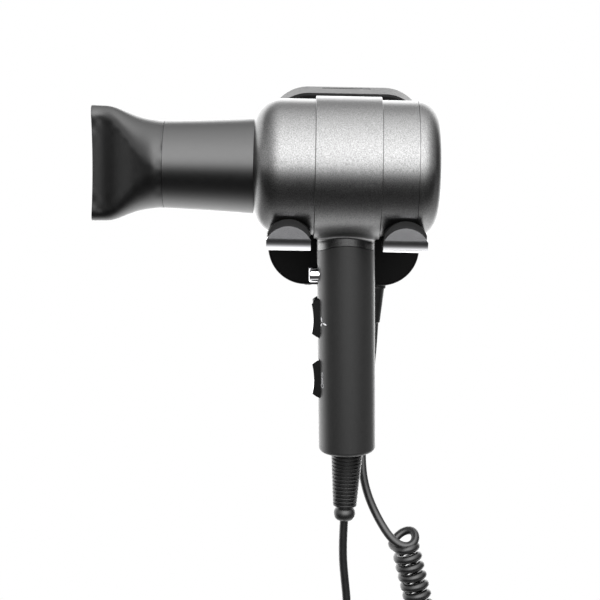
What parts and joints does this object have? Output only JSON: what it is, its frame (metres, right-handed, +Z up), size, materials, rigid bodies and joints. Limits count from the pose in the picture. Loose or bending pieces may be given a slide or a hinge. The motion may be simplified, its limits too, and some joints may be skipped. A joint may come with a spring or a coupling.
{
  "type": "wall hair dryer holder",
  "caption": "Wall hair dryer holder: rounded wall cover, two padded cradle arms and a corded hair dryer with slot nozzle, rocker switches and a curly cord.",
  "frame": {"origin": "centre of the holder's wall face", "axes": "+X to the right seen from the room, +Y into the wall, +Z up"},
  "size_m": [0.2449, 0.1247, 0.4938],
  "materials": {
    "base_plastic": "fine matt, nearly black",
    "arm_steel": "satin anthracite paint",
    "pad_rubber": "matt black",
    "screw_steel": "zinc plated",
    "terminal_plastic": "natural white",
    "cord_rubber": "satin black",
    "barrel_plastic": "fine matt black",
    "nozzle_plastic": "fine matt black",
    "gunmetal": "satin gunmetal metallic with a fine grain",
    "mica": "brown mica",
    "heater_wire": "bare resistance wire",
    "motor_steel": "plated",
    "handle_soft_touch": "charcoal soft-touch",
    "button_chrome": "bright",
    "rocker_gloss": "glossy black",
    "grille_dark": "matt black",
    "filter_mesh": "fine dark mesh"
  },
  "bodies": {
    "holder": {"wall_plate": "base_plastic", "holder_cover": "base_plastic", "arm_left": "arm_steel", "arm_right": "arm_steel", "pad_left": "pad_rubber", "pad_right": "pad_rubber", "arm_screws_left": "screw_steel", "arm_screws_right": "screw_steel", "terminal_block": "terminal_plastic", "terminal_screws": "screw_steel", "cord_clamp": "base_plastic", "clamp_screws": "screw_steel", "wall_cord_bush": "cord_rubber", "cover_screw": "screw_steel", "wall_lead": "cord_rubber", "cord_handle_tail": "cord_rubber", "cord_coil": "cord_rubber", "cord_wall_tail": "cord_rubber"},
    "dryer": {"barrel": "barrel_plastic", "body_front_shell": "gunmetal", "body_band": "gunmetal", "body_rear_shell": "gunmetal", "outlet_grille": "barrel_plastic", "heater_frame": "mica", "heater_coil": "heater_wire", "mica_sleeve": "mica", "thermostat": "screw_steel", "thermal_fuse": "screw_steel", "motor": "motor_steel", "fan_shroud": "barrel_plastic", "housing_screws": "screw_steel", "handle_shell": "handle_soft_touch", "speed_switch": "base_plastic", "heat_switch": "base_plastic", "button_switch": "base_plastic", "handle_cord_bush": "cord_rubber", "handle_lead": "cord_rubber"},
    "nozzle": {"nozzle": "nozzle_plastic"},
    "rotor": {"impeller": "barrel_plastic", "motor_shaft": "motor_steel"},
    "button": {"push_button": "button_chrome"},
    "speed_rocker": {"speed_rocker": "rocker_gloss"},
    "heat_rocker": {"heat_rocker": "rocker_gloss"},
    "filter_cap": {"rear_cap": "gunmetal", "rear_grille": "grille_dark", "filter_screen": "filter_mesh"}
  },
  "joints": [
    {"name": "dryer_lift", "type": "slide", "parent": "holder", "child": "dryer", "axis": [0, 0, 1], "range_m": [0, 0.014]},
    {"name": "nozzle_turn", "type": "hinge", "parent": "dryer", "child": "nozzle", "pos_m": [0, -0.0785, 0.0221], "axis": [1, 0, 0], "continuous": true},
    {"name": "rotor_spin", "type": "hinge", "parent": "dryer", "child": "rotor", "pos_m": [0, -0.0785, 0.0221], "axis": [1, 0, 0], "continuous": true},
    {"name": "button_press", "type": "slide", "parent": "dryer", "child": "button", "axis": [0.9996, 0, 0.0297], "range_m": [0, 0.003], "stiffness_N_per_m": 400, "springref_m": -0.001},
    {"name": "speed_rocker_tilt", "type": "hinge", "parent": "dryer", "child": "speed_rocker", "pos_m": [-0.01133, -0.0785, -0.07706], "axis": [0, 1, 0], "range_deg": [-10, 10]},
    {"name": "heat_rocker_tilt", "type": "hinge", "parent": "dryer", "child": "heat_rocker", "pos_m": [-0.01011, -0.0785, -0.11804], "axis": [0, 1, 0], "range_deg": [-10, 10]},
    {"name": "filter_pull", "type": "slide", "parent": "dryer", "child": "filter_cap", "axis": [1, 0, 0], "range_m": [0, 0.03]}
  ]
}
